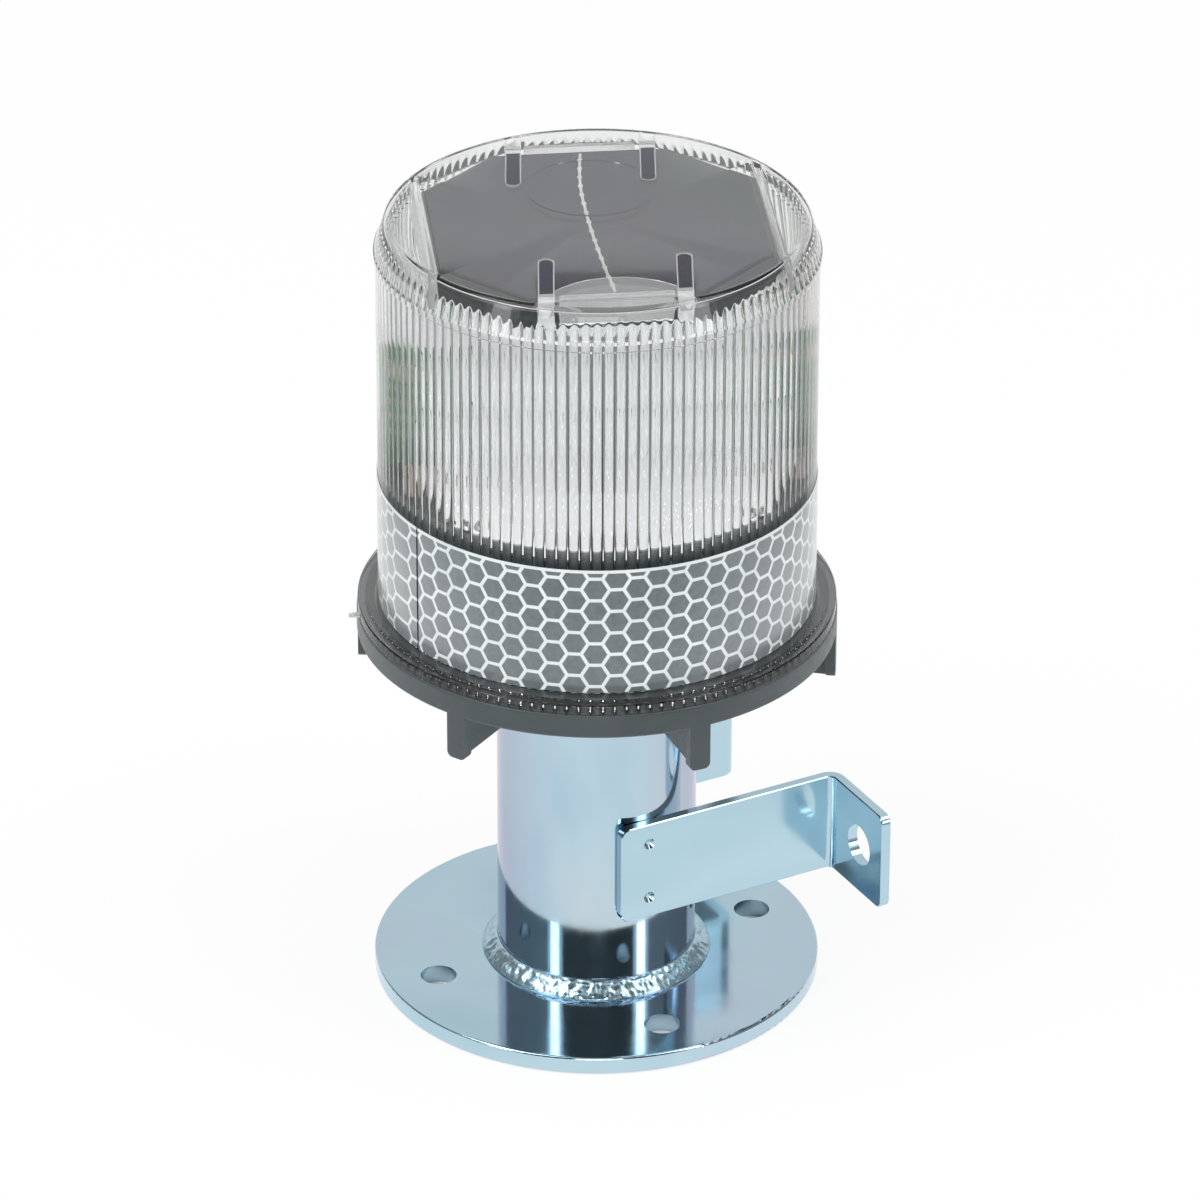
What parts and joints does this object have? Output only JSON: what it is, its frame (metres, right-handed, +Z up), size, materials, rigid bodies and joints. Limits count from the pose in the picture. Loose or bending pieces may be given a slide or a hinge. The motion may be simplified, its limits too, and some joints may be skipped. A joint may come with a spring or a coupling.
{
  "type": "solar warning light",
  "caption": "Solar warning light with a ribbed clear cover over an eight-sided panel, a reflective band, and a welded tube stand with bent side brackets.",
  "frame": {"origin": "centre of the base plate's underside", "axes": "+Z up along the tube, +X along the long legs of the two side brackets, towards their bent ends"},
  "size_m": [0.144, 0.144, 0.252],
  "materials": {
    "zinc_plate": "bright zinc plating on flat steel, satin",
    "zinc_tube": "bright zinc plating with a faint blue cast",
    "zinc_bracket": "zinc plated strip, satin",
    "weld_bead": "zinc plated weld, rippled",
    "fastener_steel": "plated fasteners",
    "dark_plastic": "dark grey moulding, satin",
    "seal_rubber": "matte",
    "clear_plastic": "clear ribbed moulding, glossy",
    "reflective_film": "silver retroreflective film with hexagon cells",
    "solar_laminate": "dark cells under a clear coat",
    "tray_plastic": "dark moulding",
    "green_board": "green lacquered laminate",
    "dark_board": "black lacquered laminate",
    "diode_lens": "cast resin",
    "component_plastic": "moulded cases",
    "silvered_plastic": "vacuum-silvered moulding",
    "shrink_wrap": "shrunk film",
    "strap_steel": "bent spring strip",
    "lead_sheath": "soft sheath"
  },
  "bodies": {
    "root": {"base_plate": "zinc_plate", "post_tube": "zinc_tube", "foot_weld": "weld_bead", "bracket_front": "zinc_bracket", "bracket_rear": "zinc_bracket", "tube_cap": "zinc_bracket", "mount_bolt": "fastener_steel", "mount_nut": "fastener_steel", "mount_washers": "fastener_steel", "lamp_base": "dark_plastic", "sealing_ring": "seal_rubber", "clear_cover": "clear_plastic", "reflective_sheet": "reflective_film", "solar_panel": "solar_laminate", "panel_tray": "tray_plastic", "tray_screws": "fastener_steel", "lamp_board": "green_board", "led_chips": "diode_lens", "end_parts": "component_plastic", "reflector_front": "silvered_plastic", "reflector_rear": "silvered_plastic", "reflector_screws": "fastener_steel", "main_board": "dark_board", "power_parts": "component_plastic", "board_screws": "fastener_steel", "battery_pack": "shrink_wrap", "battery_strap": "strap_steel", "strap_screws": "fastener_steel", "panel_lead": "lead_sheath", "battery_lead": "lead_sheath"}
  },
  "joints": []
}
